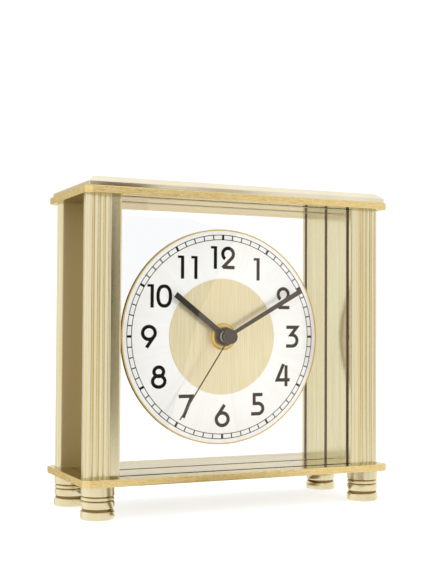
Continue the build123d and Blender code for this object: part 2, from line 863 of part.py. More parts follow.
# Stator: a soft iron plate with the rotor hole and two legs up to the coil core.
stator_rear = stator_front + stator_thickness
with BuildPart() as stator:
    with BuildSketch(facing(stator_rear)):
        with Locations(((stator_left + stator_right) / 2, (stator_low + stator_high) / 2)):
            Rectangle(stator_right - stator_left, stator_high - stator_low)
        with Locations(rotor_axis):
            Circle(stator_boss)
        for x in (stator_left + stator_leg / 2, stator_right - stator_leg / 2):
            with Locations((x, (stator_low + stator_top) / 2)):
                Rectangle(stator_leg, stator_top - stator_low)
        with Locations(rotor_axis):
            Circle(stator_hole, mode=Mode.SUBTRACT)
        with Locations(*[(x, post_z) for x in post_x]):
            Circle(motor_screw_radius, mode=Mode.SUBTRACT)
    extrude(amount=stator_thickness)
stator.part.label = "stator"
export_step(stator.part, "parts/stator.step")

# Motor screws: hold the stator on the case's two posts.
with BuildPart() as motor_screws:
    for x in post_x:
        disc(motor_screw_radius, stator_front - motor_screw_depth, stator_rear, (x, post_z))
        disc(motor_screw_head, stator_rear, stator_rear + motor_screw_head_thickness, (x, post_z))
motor_screws.part.label = "motor_screws"
export_step(motor_screws.part, "parts/motor_screws.step")

# Coil core: the iron bar between the stator legs, through the bobbin.
core_front = stator_front - stator_thickness
with BuildPart() as coil_core:
    block(
        (stator_left - core_overhang, coil_z - core_height / 2),
        (stator_right + core_overhang, coil_z + core_height / 2),
        core_front,
        stator_front,
    )
coil_core.part.label = "coil_core"
export_step(coil_core.part, "parts/coil_core.step")

# Coil bobbin: a moulded sleeve with two square flanges.
core_middle = (core_front + stator_front) / 2
sleeve_half_height = core_height / 2 + bobbin_wall
sleeve_half_depth = (stator_front - core_front) / 2 + bobbin_wall
with BuildPart() as coil_bobbin:
    block(
        (coil_left, coil_z - sleeve_half_height),
        (coil_right, coil_z + sleeve_half_height),
        core_middle - sleeve_half_depth,
        core_middle + sleeve_half_depth,
    )
    for x in (coil_left, coil_right - coil_flange):
        block(
            (x, coil_z - coil_radius),
            (x + coil_flange, coil_z + coil_radius),
            core_middle - coil_radius,
            core_middle + coil_radius,
        )
    block(
        (coil_left, coil_z - core_height / 2),
        (coil_right, coil_z + core_height / 2),
        core_front,
        stator_front,
        mode=Mode.SUBTRACT,
    )
coil_bobbin.part.label = "coil_bobbin"
export_step(coil_bobbin.part, "parts/coil_bobbin.step")

# Coil winding: enamelled wire on the sleeve, as one rounded bundle.
winding_plane = Plane(
    origin=(coil_left + coil_flange, core_middle, dial_z + coil_z), x_dir=(0, 1, 0), z_dir=(1, 0, 0)
)
winding_side = 2 * (coil_radius - winding_inset)
with BuildPart() as coil_winding:
    with BuildSketch(winding_plane):
        RectangleRounded(winding_side, winding_side, coil_radius / 2)
        Rectangle(2 * sleeve_half_depth, 2 * sleeve_half_height, mode=Mode.SUBTRACT)
    extrude(amount=coil_right - coil_left - 2 * coil_flange)
coil_winding.part.label = "coil_winding"
export_step(coil_winding.part, "parts/coil_winding.step")

# Circuit board: an L round the train, against the rear cover.
board_front = cover_front - board_thickness
with BuildPart() as circuit_board:
    block((board_left, board_low), (board_inner, board_top), board_front, cover_front)
    block((board_left, board_low), (-board_left, board_strip_top), board_front, cover_front)
    block(
        (lower_lug_x - lug_width / 2 - lug_gap, divider_top),
        (lower_lug_x + lug_width / 2 + lug_gap, divider_top + lug_thickness + lug_gap),
        board_front,
        cover_front,
        mode=Mode.SUBTRACT,
    )
circuit_board.part.label = "circuit_board"
export_step(circuit_board.part, "parts/circuit_board.step")

# Driver chip: a round blob of black resin on the board.
with BuildPart() as driver_chip:
    disc(chip_radius, board_front - chip_thickness, board_front, chip_place)
    fillet(driver_chip.faces().sort_by(Axis.Y)[0].edges(), radius=chip_round)
driver_chip.part.label = "driver_chip"
export_step(driver_chip.part, "parts/driver_chip.step")

# Quartz crystal: a small steel can lying on the board.
with BuildPart() as quartz_crystal:
    with BuildSketch(Plane.XY.offset(dial_z + crystal_place[1])):
        with Locations((crystal_place[0], board_front - crystal_radius)):
            Circle(crystal_radius)
    extrude(amount=crystal_length)
quartz_crystal.part.label = "quartz_crystal"
export_step(quartz_crystal.part, "parts/quartz_crystal.step")

# Battery: one AA cell lying across the bottom of the case.
battery_plane = Plane(
    origin=(battery_left, battery_y, dial_z + battery_z), x_dir=(0, 1, 0), z_dir=(1, 0, 0)
)
with BuildPart() as battery:
    with BuildSketch(battery_plane):
        Circle(battery_radius)
    extrude(amount=battery_right - battery_left)
    fillet(battery.edges(), radius=battery_round)
    with BuildSketch(battery_plane.offset(battery_right - battery_left)):
        Circle(nub_radius)
    extrude(amount=nub_length)
battery.part.label = "battery"
export_step(battery.part, "parts/battery.step")

# Contacts: a flat strip at the positive end and a bowed strip at the negative end.
# Each runs up past the divider to the circuit board.
contact_back = half_inner - contact_thickness
with BuildPart() as positive_contact:
    block((contact_back, contact_low), (half_inner, contact_high), contact_front, contact_rear)
    block((contact_back, divider_top), (half_inner, contact_high), contact_rear, board_front)
positive_contact.part.label = "positive_contact"
export_step(positive_contact.part, "parts/positive_contact.step")

with BuildPart() as negative_contact:
    block((-half_inner, contact_low), (-contact_back, contact_high), contact_front, contact_rear)
    block((-half_inner, divider_top), (-contact_back, contact_high), contact_rear, board_front)
    bow_ends = (
        (-contact_back, contact_front + bow_end),
        (-contact_back, contact_front + 2 * bow_end),
        (-contact_back, contact_rear - 2 * bow_end),
        (-contact_back, contact_rear - bow_end),
    )
    with BuildSketch(Plane.XY.offset(dial_z + battery_z - bow_height / 2)):
        with BuildLine():
            ThreePointArc(bow_ends[0], (battery_left, battery_y), bow_ends[3])
            ThreePointArc(bow_ends[2], (battery_left - contact_thickness, battery_y), bow_ends[1])
            Line(bow_ends[0], bow_ends[1])
            Line(bow_ends[2], bow_ends[3])
        make_face()
    extrude(amount=bow_height)
negative_contact.part.label = "negative_contact"
export_step(negative_contact.part, "parts/negative_contact.step")
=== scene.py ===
"""Looks of the mantel clock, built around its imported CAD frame. Metres, +Z up, the front faces -Y."""

import math

import bmesh
import bpy
from mathutils import Matrix, Vector


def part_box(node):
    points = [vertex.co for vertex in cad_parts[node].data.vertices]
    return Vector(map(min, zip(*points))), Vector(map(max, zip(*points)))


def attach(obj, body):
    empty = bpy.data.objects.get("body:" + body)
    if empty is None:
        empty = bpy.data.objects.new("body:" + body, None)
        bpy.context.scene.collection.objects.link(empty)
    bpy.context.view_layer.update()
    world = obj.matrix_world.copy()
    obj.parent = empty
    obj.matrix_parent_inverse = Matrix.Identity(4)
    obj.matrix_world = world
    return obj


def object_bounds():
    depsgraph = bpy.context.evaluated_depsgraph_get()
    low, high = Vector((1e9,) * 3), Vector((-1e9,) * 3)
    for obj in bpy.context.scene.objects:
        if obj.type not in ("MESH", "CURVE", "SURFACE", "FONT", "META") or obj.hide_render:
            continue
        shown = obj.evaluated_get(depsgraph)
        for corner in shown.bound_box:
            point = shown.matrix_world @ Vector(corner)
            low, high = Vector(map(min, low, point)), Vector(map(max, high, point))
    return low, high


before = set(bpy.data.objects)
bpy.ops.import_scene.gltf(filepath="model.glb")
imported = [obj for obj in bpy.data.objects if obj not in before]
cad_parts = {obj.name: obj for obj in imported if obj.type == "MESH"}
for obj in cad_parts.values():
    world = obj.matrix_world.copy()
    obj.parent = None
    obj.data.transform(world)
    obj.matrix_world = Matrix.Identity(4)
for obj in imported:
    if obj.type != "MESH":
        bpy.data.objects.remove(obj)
cad_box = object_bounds()

MM = 0.001

# Where the side frames' finish changes: at their pane slots, which painted shade darkens, their outer
# recess, and the flat and inner edge of each column.
PANE_SIT = 1.45 * MM
HAIR = 0.05 * MM
SLOT_REACH = 1.7 * MM
SLOTS_HALF_SPAN = 22 * MM
WALL_HALFWAY = 2.5 * MM
RECESS_HALF_SPAN = 16.5 * MM
EDGE_ROUND, EDGE_ROUND_DROP = 0.8 * MM, 0.16 * MM
FLAT_WIDTH, FLAT_HOLLOW = 4.9 * MM, 0.035 * MM

# Where the feet's painted shade begins: at the roots of their grooves.
FOOT_GROOVE = 0.62 * MM
GROOVE_FADE = 0.1 * MM

# The panes' refraction index, and how much more a pane's two faces mirror than one.
GLASS_IOR = 1.5
BOTH_FACES = 1.7

# The battery's sleeve: how far along its colours change, and the pale line beside that.
SLEEVE_SPLIT = 0.68
SLEEVE_FADE, SLEEVE_LINE_AWAY, SLEEVE_LINE = 0.2 * MM, 1.2 * MM, 0.3 * MM

# Noise runs from about LOW to about HIGH.
LOW, HIGH = 0.3, 0.7

# The Mix node's sockets for colours: its names for them aren't unique.
MIX_FACTOR, MIX_FIRST, MIX_SECOND, MIX_RESULT = 0, 6, 7, 2

# The dial's print, in mm on the dial: x to the right, y up, from the hand axis.
TRACK_INNER, TRACK_OUTER = 45.2, 47.4
TRACK_LINE = 0.34
MINUTE_TICK, HOUR_TICK = 0.52, 1.1
NUMERAL_RADIUS = 36.8
NUMERAL_TOP = 4.5
STROKE = 1.62
FLAG_STROKE = 1.2
PRINT_RISE = 0.03
PRINT_SINK = 0.005
STROKE_STEP = 0.002
STROKE_STEPS = 4
ARC_STEP = 6
SHARPEST_MITRE = 0.35

# The camera and the studio, in metres and degrees.
CAMERA_PLACE = (-0.21398, -0.45910, 0.08166)
CAMERA_YAW, CAMERA_PITCH, CAMERA_ROLL = 24.826, 1.977, 0.309
CAMERA_LENS = 67.11
WHITE = (1.0, 1.0, 1.0)
BLACK = (0.0, 0.0, 0.0)
WORLD_FRONT, WORLD_BEHIND, WORLD_OVERHEAD = 1.04, 1.15, 0.06
KEY_AZIMUTH, KEY_DISTANCE, KEY_CONE, KEY_BLEND = 35.0, 0.9, 17.0, 0.3
KEY_RADIUS, KEY_POWER, KEY_COLOUR = 0.055, 10.0, (0.84, 0.93, 1.0)
FLOOR_SIZE, FLOOR_GREY, FLOOR_GLOW = 12.0, 0.5, 0.72
CARD_DISTANCE = 1.2


def linked(name, data):
    """A new object in the scene."""
    obj = bpy.data.objects.new(name, data)
    bpy.context.scene.collection.objects.link(obj)
    return obj


# ---------------------------------------------------------------- materials


class Finish:
    """One procedural material: its Principled shader and the nodes that feed it."""

    def __init__(self, name, **plain):
        self.material = bpy.data.materials.new(name)
        self.material.use_nodes = True
        self.nodes = self.material.node_tree.nodes
        self.links = self.material.node_tree.links
        self.shader = self.nodes["Principled BSDF"]
        self.output = self.nodes["Material Output"]
        self.set(self.shader, **plain)

    def feed(self, socket, value):
        """Links a socket to another node's output, or sets it."""
        if isinstance(value, bpy.types.NodeSocket):
            self.links.new(value, socket)
        else:
            socket.default_value = value

    def set(self, node, **sockets):
        """Sets or links a node's sockets by name, with _ for a space."""
        for name, value in sockets.items():
            self.feed(node.inputs[name.replace("_", " ")], value)

    def node(self, kind, settings=(), **sockets):
        """A new node with its settings and sockets."""
        made = self.nodes.new("ShaderNode" + kind)
        for name, value in dict(settings).items():
            setattr(made, name, value)
        self.set(made, **sockets)
        return made

    def math(self, operation, first, second=0.0):
        """The result of an operation on two values."""
        made = self.node("Math", {"operation": operation})
        self.feed(made.inputs[0], first)
        self.feed(made.inputs[1], second)
        return made.outputs[0]

    def place(self):
        """The point on the piece, in metres in its own frame, so that a pattern rides with it."""
        return self.node("TexCoord").outputs["Object"]

    def normal(self):
        """The surface's direction in the piece's own frame, as three values."""
        return self.node("SeparateXYZ", Vector=self.node("TexCoord").outputs["Normal"]).outputs

    def noise(self, grains, detail=2.0, roughness=0.5, distortion=0.0):
        """Noise from 0 to 1 with so many grains to the metre along each axis."""
        place = self.node("Mapping", Vector=self.place(), Scale=grains).outputs[0]
        made = self.node(
            "TexNoise", Vector=place, Scale=1.0, Detail=detail, Roughness=roughness, Distortion=distortion
        )
        return made.outputs[0]

    def wave(self, scale, distortion, detail):
        """Even bands across the piece, from 0 to 1."""
        made = self.node(
            "TexWave", Vector=self.place(), Scale=scale, Distortion=distortion, Detail=detail
        )
        return made.outputs[1]

    def span(self, value, low, high, to_low, to_high):
        """value taken from low..high to to_low..to_high, and held there."""
        made = self.node(
            "MapRange", Value=value, From_Min=low, From_Max=high, To_Min=to_low, To_Max=to_high
        )
        return made.outputs[0]

    def vary(self, noise, least, most):
        """Noise stretched to run from least to most."""
        return self.span(noise, LOW, HIGH, least, most)

    def below(self, value, limit):
        """1 where value is below limit, and else 0."""
        return self.math("LESS_THAN", value, limit)

    def squared(self, value):
        """value times itself."""
        return self.math("MULTIPLY", value, value)

    def mix(self, factor, first, second):
        """A colour between two."""
        made = self.node("Mix", {"data_type": "RGBA"})
        self.feed(made.inputs[MIX_FACTOR], factor)
        self.feed(made.inputs[MIX_FIRST], first)
        self.feed(made.inputs[MIX_SECOND], second)
        return made.outputs[MIX_RESULT]

    def blend(self, factor, first, second):
        """A shader between two."""
        made = self.node("MixShader", Fac=factor)
        self.feed(made.inputs[1], first)
        self.feed(made.inputs[2], second)
        return made.outputs[0]

    def bump(self, height, distance, strength=1.0, under=None):
        """A normal that follows height, over another bump where one is given."""
        made = self.node("Bump", Height=height, Distance=distance, Strength=strength)
        if under is not None:
            self.feed(made.inputs["Normal"], under)
        return made.outputs[0]


def rgb(red, green, blue):
    """A linear colour from 0-255 screen values."""

    def linear(value):
        share = value / 255
        return share / 12.92 if share <= 0.04045 else ((share + 0.055) / 1.055) ** 2.4

    return linear(red), linear(green), linear(blue), 1.0


def brass_satin():
    """The plates: polished faces, and golden edges with a fine lengthwise grain and pale specks."""
    finish = Finish("brass_satin", Metallic=1.0, Specular_Tint=(0.8, 0.79, 0.72, 1.0))
    edge = finish.span(finish.math("ABSOLUTE", finish.normal()[2]), 0.5, 0.9, 1.0, 0.0)
    grain = finish.noise((260, 260, 4200), detail=4.0, roughness=0.65)
    specks = finish.noise((1300, 1300, 3200), detail=2.0, roughness=0.7)
    cloud = finish.noise((45, 45, 45), detail=2.0)
    golden = finish.mix(finish.span(grain, 0.36, 0.64, 0.0, 1.0), rgb(226, 190, 112), rgb(243, 222, 164))
    golden = finish.mix(finish.span(specks, 0.58, 0.7, 0.0, 0.7), golden, rgb(250, 242, 214))
    pale = finish.mix(cloud, rgb(206, 188, 138), rgb(224, 210, 168))
    rough = finish.span(edge, 0.0, 1.0, 0.14, 0.28)
    finish.set(
        finish.shader,
        Base_Color=finish.mix(edge, pale, golden),
        Roughness=finish.math("ADD", rough, finish.vary(grain, -0.04, 0.06)),
        Normal=finish.bump(finish.math("MULTIPLY", grain, edge), 0.00004, 0.6),
    )
    return finish.material


def brass_polished():
    """The top cap: polished, with faint long wipe marks."""
    finish = Finish("brass_polished", Metallic=1.0)
    wipe = finish.noise((30, 400, 1800), detail=3.0, roughness=0.6)
    cloud = finish.noise((40, 40, 60), detail=2.0)
    finish.set(
        finish.shader,
        Base_Color=finish.mix(cloud, rgb(218, 207, 178), rgb(234, 227, 208)),
        Roughness=finish.vary(wipe, 0.07, 0.15),
        Normal=finish.bump(wipe, 0.00001, 0.25),
    )
    return finish.material


def brass_reeded():
    """The side frames: pale brass with draw marks and golden streaks of painted reflection, dull pane
    slots darkened with painted shade, and a milled recess.
    """
    finish = Finish("brass_reeded", Metallic=1.0)
    draw = finish.noise((3800, 3800, 25), detail=3.0, roughness=0.65)
    reflection_streak = finish.noise((1100, 1100, 6), detail=2.0)
    cloud = finish.noise((35, 35, 22), detail=2.0)
    warm = finish.mix(cloud, rgb(224, 213, 176), rgb(236, 227, 197))
    # Painted reflection: golden streaks down the columns stand in for the streaky reflections that run
    # along them.
    warm = finish.mix(finish.span(reflection_streak, 0.5, 0.68, 0.0, 0.7), warm, rgb(224, 200, 134))
    drawn_with_painted_streaks = finish.mix(finish.span(draw, LOW, 0.75, 0.0, 0.4), warm, rgb(200, 184, 138))

    axes = finish.node("SeparateXYZ", Vector=finish.place()).outputs
    out = finish.math("ABSOLUTE", axes[0])
    across = finish.math("ABSOLUTE", axes[1])
    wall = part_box("front_glass")[1].x - PANE_SIT
    in_wall = finish.math(
        "MULTIPLY", finish.span(out, wall, wall + HAIR, 0.0, 1.0), finish.below(out, wall + SLOT_REACH)
    )
    slot = finish.math("MULTIPLY", in_wall, finish.below(across, SLOTS_HALF_SPAN))
    outside = finish.math("GREATER_THAN", out, wall + WALL_HALFWAY)
    recess = finish.math("MULTIPLY", outside, finish.below(across, RECESS_HALF_SPAN))
    # Painted shade: the pane slots are darkened to a dull dark brass, where shade falls in them.
    slot_shaded = finish.mix(slot, drawn_with_painted_streaks, rgb(150, 128, 94))
    dull = finish.math("ADD", finish.math("MULTIPLY", slot, 0.4), finish.math("MULTIPLY", recess, 0.3))
    rough = finish.span(draw, 0.25, 0.75, 0.12, 0.22)

    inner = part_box("right_side_frame")[0].x
    edge = finish.span(out, inner, inner + EDGE_ROUND, 1.0, 0.0)
    rolled = finish.math("MULTIPLY", finish.squared(edge), -EDGE_ROUND_DROP)
    aside = finish.span(out, inner, inner + FLAT_WIDTH, -1.0, 1.0)
    hollow = finish.math("MULTIPLY", finish.squared(aside), FLAT_HOLLOW)
    shaped = finish.bump(finish.math("ADD", rolled, hollow), 1.0)
    finish.set(
        finish.shader,
        Base_Color=finish.mix(recess, slot_shaded, rgb(207, 193, 156)),
        Roughness=finish.math("ADD", rough, dull),
        Normal=finish.bump(draw, 0.00002, 0.35, shaped),
    )
    return finish.material


def brass_turned():
    """The feet: bright turned brass with fine tool rings and small dark pits of wear, and painted shade
    that makes the roots of their grooves dull and dark.
    """
    finish = Finish("brass_turned", Metallic=1.0)
    low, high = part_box("front_right_foot")
    axes = finish.node("SeparateXYZ", Vector=finish.place()).outputs
    out_x = finish.math("SUBTRACT", finish.math("ABSOLUTE", axes[0]), (low.x + high.x) / 2)
    out_y = finish.math("SUBTRACT", finish.math("ABSOLUTE", axes[1]), -(low.y + high.y) / 2)
    squared = finish.math("ADD", finish.squared(out_x), finish.squared(out_y))
    root = (high.x - low.x) / 2 - FOOT_GROOVE
    # Painted shade: the roots of the grooves on the feet's sides are darkened, where shade falls in them.
    groove_shade = finish.span(finish.math("SQRT", squared), root, root + GROOVE_FADE, 1.0, 0.0)
    sides = finish.span(finish.math("ABSOLUTE", finish.normal()[2]), 0.3, 0.9, 1.0, 0.0)
    groove_shade = finish.math("MULTIPLY", groove_shade, sides)
    rings = finish.noise((60, 60, 7000), detail=2.0, roughness=0.5)
    pits = finish.noise((900, 900, 1400), detail=3.0, roughness=0.7)
    cloud = finish.noise((90, 90, 160), detail=2.0)
    pale = finish.mix(cloud, rgb(216, 200, 156), rgb(237, 226, 192))
    pitted = finish.span(pits, 0.66, 0.76, 0.0, 0.75)
    turned = finish.mix(pitted, pale, rgb(120, 98, 58))
    dull = finish.math("MULTIPLY", pitted, 0.3)
    finish.set(
        finish.shader,
        Base_Color=finish.mix(groove_shade, turned, rgb(128, 104, 62)),
        Roughness=finish.math("ADD", finish.vary(rings, 0.2, 0.3), dull),
        Normal=finish.bump(rings, 0.000015, 0.4, finish.bump(pitted, -0.00003, 0.5)),
    )
    return finish.material


def brass_rim():
    """The dial's rim, the hand nut and the pinion's tube: warm golden brass."""
    finish = Finish("brass_rim", Metallic=1.0)
    wear = finish.noise((500, 500, 500), detail=3.0, roughness=0.6)
    finish.set(
        finish.shader,
        Base_Color=finish.mix(wear, rgb(232, 192, 96), rgb(247, 218, 140)),
        Roughness=finish.vary(wear, 0.34, 0.46),
        Normal=finish.bump(wear, 0.00001, 0.3),
    )
    return finish.material


def brass_brushed_disc():
    """The dial's middle: lacquered foil, brushed up and down."""
    finish = Finish("brass_brushed_disc", Metallic=0.6)
    lines = finish.noise((4200, 4200, 50), detail=4.0, roughness=0.7)
    cloud = finish.noise((60, 60, 14), detail=2.0)
    base = finish.mix(cloud, rgb(245, 233, 192), rgb(250, 241, 208))
    finish.set(
        finish.shader,
        Base_Color=finish.mix(finish.span(lines, 0.36, 0.64, 0.0, 0.6), base, rgb(222, 201, 142)),
        Roughness=finish.vary(lines, 0.28, 0.42),
        Normal=finish.bump(lines, 0.00003, 0.6),
    )
    return finish.material


def white_dial():
    """The dial plate: white satin with a faint sunburst from the hand axis."""
    finish = Finish("white_dial", IOR=1.45)
    low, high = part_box("dial_plate")
    centre = (low + high) / 2
    spot = finish.node("Mapping", Vector=finish.place(), Location=-centre).outputs[0]
    axes = finish.node("SeparateXYZ", Vector=spot).outputs
    turn = finish.math("ARCTAN2", axes[2], axes[0])
    way = {"X": finish.math("SINE", turn), "Y": finish.math("COSINE", turn)}
    around = finish.node("CombineXYZ", Z=0.0, **way).outputs[0]
    rays = finish.node("TexNoise", Vector=around, Scale=14.0, Detail=4.0, Roughness=0.6).outputs[0]
    ray = finish.span(rays, 0.35, 0.75, 0.0, 1.0)
    paper = finish.noise((2500, 2500, 2500), detail=2.0)
    finish.set(
        finish.shader,
        Base_Color=finish.mix(ray, rgb(247, 246, 244), rgb(242, 239, 231)),
        Roughness=finish.vary(rays, 0.38, 0.5),
        Normal=finish.bump(paper, 0.000004, 0.3),
    )
    return finish.material


def black_backing():
    """The dial's backing board: matt black with a fine tooth."""
    finish = Finish("black_backing", Specular_IOR_Level=0.15)
    tooth = finish.noise((3000, 3000, 3000), detail=3.0)
    finish.set(
        finish.shader,
        Base_Color=finish.mix(tooth, rgb(18, 17, 16), rgb(34, 32, 30)),
        Roughness=finish.vary(tooth, 0.45, 0.65),
        Normal=finish.bump(tooth, 0.00001, 0.4),
    )
    return finish.material


def clear_glass():
    """A thin flat pane that doesn't bend light: clear faces that mirror a little with a painted warm
    tint, and dull cut edges in the glass's green, the upright ones painted darker than the top and bottom
    ones.
    """
    finish = Finish("clear_glass", Roughness=0.35, IOR=GLASS_IOR)
    facing = finish.normal()
    edge = finish.span(finish.math("ABSOLUTE", facing[1]), 0.3, 0.7, 1.0, 0.0)
    upright = finish.span(finish.math("ABSOLUTE", facing[0]), 0.3, 0.7, 0.0, 1.0)
    ripple = finish.noise((900, 900, 900), detail=2.0)
    # The green tint is the glass's own. The lighter top and bottom edges and the darker upright ones are
    # painted light and shade.
    lit_ends = finish.mix(ripple, rgb(140, 146, 122), rgb(162, 168, 146))
    sides = finish.mix(ripple, rgb(86, 82, 62), rgb(106, 100, 80))
    finish.set(finish.shader, Base_Color=finish.mix(upright, lit_ends, sides))
    clear = finish.node("BsdfTransparent", Color=(0.987, 0.99, 0.993, 1.0)).outputs[0]
    # Painted light: the mirror's warm tint stands in for the warm light that the panes mirror. The glass
    # itself mirrors without colour.
    mirror = finish.node("BsdfGlossy", Roughness=0.0, Color=(1.0, 0.8, 0.62, 1.0)).outputs[0]
    outside = finish.math("SUBTRACT", 1.0, finish.node("NewGeometry").outputs["Backfacing"])
    fresnel = finish.node("Fresnel", IOR=GLASS_IOR).outputs[0]
    both_faces = finish.math("MULTIPLY", finish.math("MULTIPLY", fresnel, BOTH_FACES), outside)
    pane = finish.blend(both_faces, clear, mirror)
    whole = finish.blend(edge, pane, finish.shader.outputs[0])
    finish.feed(finish.output.inputs["Surface"], whole)
    return finish.material


def printed_ink():
    """The dial's print: matt warm black."""
    finish = Finish("printed_ink", Specular_IOR_Level=0.15)
    grain = finish.noise((2500, 2500, 2500), detail=3.0)
    finish.set(
        finish.shader,
        Base_Color=finish.mix(grain, rgb(16, 11, 7), rgb(30, 22, 15)),
        Roughness=finish.vary(grain, 0.6, 0.75),
        Normal=finish.bump(grain, 0.000005, 0.3),
    )
    return finish.material


def hand_lacquer():
    """The hands and their cap: glossy brown-black lacquer."""
    finish = Finish("hand_lacquer", Coat_Weight=0.4, Coat_Roughness=0.12)
    cloud = finish.noise((300, 300, 300), detail=3.0)
    finish.set(
        finish.shader,
        Base_Color=finish.mix(cloud, rgb(24, 17, 12), rgb(38, 28, 21)),
        Roughness=finish.vary(cloud, 0.28, 0.4),
        Normal=finish.bump(cloud, 0.00001, 0.3),
    )
    return finish.material


def plastic(name, dark, light, roughness, tooth=1600, depth=0.00002):
    """Moulded plastic: a fine spark-eroded tooth over a slight cloud of colour."""
    finish = Finish(name)
    cloud = finish.noise((120, 120, 120), detail=3.0)
    grain = finish.noise((tooth, tooth, tooth), detail=3.0, roughness=0.6)
    finish.set(
        finish.shader,
        Base_Color=finish.mix(cloud, rgb(*dark), rgb(*light)),
        Roughness=finish.vary(grain, roughness - 0.06, roughness + 0.08),
        Normal=finish.bump(grain, depth, 0.5),
    )
    return finish.material


def metal(name, dark, light, roughness, grains=(700, 700, 700)):
    """A plain metal with worn, slightly uneven polish."""
    finish = Finish(name, Metallic=1.0)
    wear = finish.noise(grains, detail=4.0, roughness=0.6)
    finish.set(
        finish.shader,
        Base_Color=finish.mix(wear, rgb(*dark), rgb(*light)),
        Roughness=finish.vary(wear, roughness - 0.05, roughness + 0.1),
        Normal=finish.bump(wear, 0.00001, 0.4),
    )
    return finish.material


def battery_jacket():
    """The cell's printed sleeve: a gold band at one end and a black one, split by a fine line."""
    finish = Finish("battery_jacket", Metallic=0.6, Coat_Weight=0.5, Coat_Roughness=0.1)
    low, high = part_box("battery")
    along = finish.node("SeparateXYZ", Vector=finish.place()).outputs[0]
    split = low.x + (high.x - low.x) * SLEEVE_SPLIT
    band = finish.span(along, split, split + SLEEVE_FADE, 0.0, 1.0)
    from_line = finish.math("ABSOLUTE", finish.math("SUBTRACT", along, split - SLEEVE_LINE_AWAY))
    line = finish.below(from_line, SLEEVE_LINE)
    scuff = finish.noise((400, 400, 400), detail=4.0, roughness=0.6)
    body = finish.mix(band, rgb(36, 36, 40), rgb(196, 146, 72))
    finish.set(
        finish.shader,
        Base_Color=finish.mix(line, body, rgb(205, 205, 205)),
        Roughness=finish.vary(scuff, 0.25, 0.4),
        Normal=finish.bump(scuff, 0.00001, 0.3),
    )
    return finish.material


def circuit_board():
    """Green board with a fine weave."""
    finish = Finish("board")
    weave = finish.wave(900.0, distortion=2.0, detail=2.0)
    finish.set(
        finish.shader,
        Base_Color=finish.mix(weave, rgb(24, 92, 52), rgb(34, 112, 64)),
        Roughness=finish.span(weave, 0.0, 1.0, 0.35, 0.5),
        Normal=finish.bump(weave, 0.00002, 0.4),
    )
    return finish.material


def copper_wire():
    """Enamelled wire, wound in turns along the coil."""
    finish = Finish("copper_wire", Metallic=1.0)
    turns = finish.wave(2200.0, distortion=0.4, detail=1.0)
    finish.set(
        finish.shader,
        Base_Color=finish.mix(turns, rgb(120, 52, 24), rgb(206, 112, 62)),
        Roughness=finish.span(turns, 0.0, 1.0, 0.4, 0.25),
        Normal=finish.bump(turns, 0.00005, 0.8),
    )
    return finish.material


FINISHES = {
    "brass_satin": brass_satin(),
    "brass_polished": brass_polished(),
    "brass_reeded": brass_reeded(),
    "brass_turned": brass_turned(),
    "brass_rim": brass_rim(),
    "brass_brushed_disc": brass_brushed_disc(),
    "white_dial": white_dial(),
    "black_backing": black_backing(),
    "clear_glass": clear_glass(),
    "hand_lacquer": hand_lacquer(),
    "steel_fastener": metal("steel_fastener", (168, 168, 166), (206, 206, 204), 0.28),
    "soft_iron": metal("soft_iron", (120, 122, 124), (164, 165, 166), 0.4),
    "contact_nickel": metal("contact_nickel", (186, 184, 176), (222, 220, 212), 0.22),
    "crystal_can": metal("crystal_can", (176, 178, 180), (214, 215, 216), 0.25),
    "magnet": metal("magnet", (70, 72, 76), (110, 112, 116), 0.4),
    "rubber": plastic("rubber", (22, 22, 22), (34, 34, 33), 0.75),
    "movement_case": plastic("movement_case", (20, 20, 22), (32, 32, 34), 0.5),
    "knob_plastic": plastic("knob_plastic", (26, 26, 28), (38, 38, 40), 0.42),
    "wheel_plastic": plastic("wheel_plastic", (214, 208, 190), (228, 224, 208), 0.4),
    "bobbin_plastic": plastic("bobbin_plastic", (176, 170, 152), (198, 192, 176), 0.45),
    "chip_resin": plastic("chip_resin", (16, 16, 17), (26, 26, 27), 0.3),
    "battery_jacket": battery_jacket(),
    "board": circuit_board(),
    "copper_wire": copper_wire(),
}


def dress_cad_nodes():
    """Gives each CAD node the finish that its slot in the record names."""
    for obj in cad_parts.values():
        for place in obj.material_slots:
            place.material = FINISHES[place.material.name.split(".")[0]]


# How far each CAD node's sharp edges are rolled over, in mm.
EDGE_ROLLS = {
    "base_plate": 0.2,
    "top_plate": 0.2,
    "top_cap": 0.25,
    "left_side_frame": 0.12,
    "right_side_frame": 0.12,
    "hour_hand": 0.1,
    "minute_hand": 0.1,
    "second_hand": 0.06,
    "dial_rim": 0.08,
    "movement_case": 0.3,
    "movement_cover": 0.25,
    "set_knob": 0.15,
    "positive_contact": 0.08,
    "negative_contact": 0.08,
    "rubber_washer": 0.2,
}
for end in ("front", "rear"):
    for side in ("left", "right"):
        EDGE_ROLLS[f"{end}_{side}_foot"] = 0.12
EDGE_ROLL_SEGMENTS, EDGE_ROLL_ANGLE = 2, 30.0

# Points nearer than this, in metres, are one point.
SAME_POINT = 1e-7


def soften_edges(name, width):
    """Rolls the sharp edges of a CAD node over by a hair, so that they catch the light."""
    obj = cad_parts[name]
    if "custom_normal" in obj.data.attributes:
        obj.data.attributes.remove(obj.data.attributes["custom_normal"])
    obj.data.shade_smooth()
    weld = obj.modifiers.new("weld", "WELD")
    weld.merge_threshold = SAME_POINT
    bevel = obj.modifiers.new("edge roll", "BEVEL")
    bevel.width = width
    bevel.segments = EDGE_ROLL_SEGMENTS
    bevel.limit_method = "ANGLE"
    bevel.angle_limit = math.radians(EDGE_ROLL_ANGLE)
    bevel.harden_normals = True


# ---------------------------------------------------------------- the dial's print


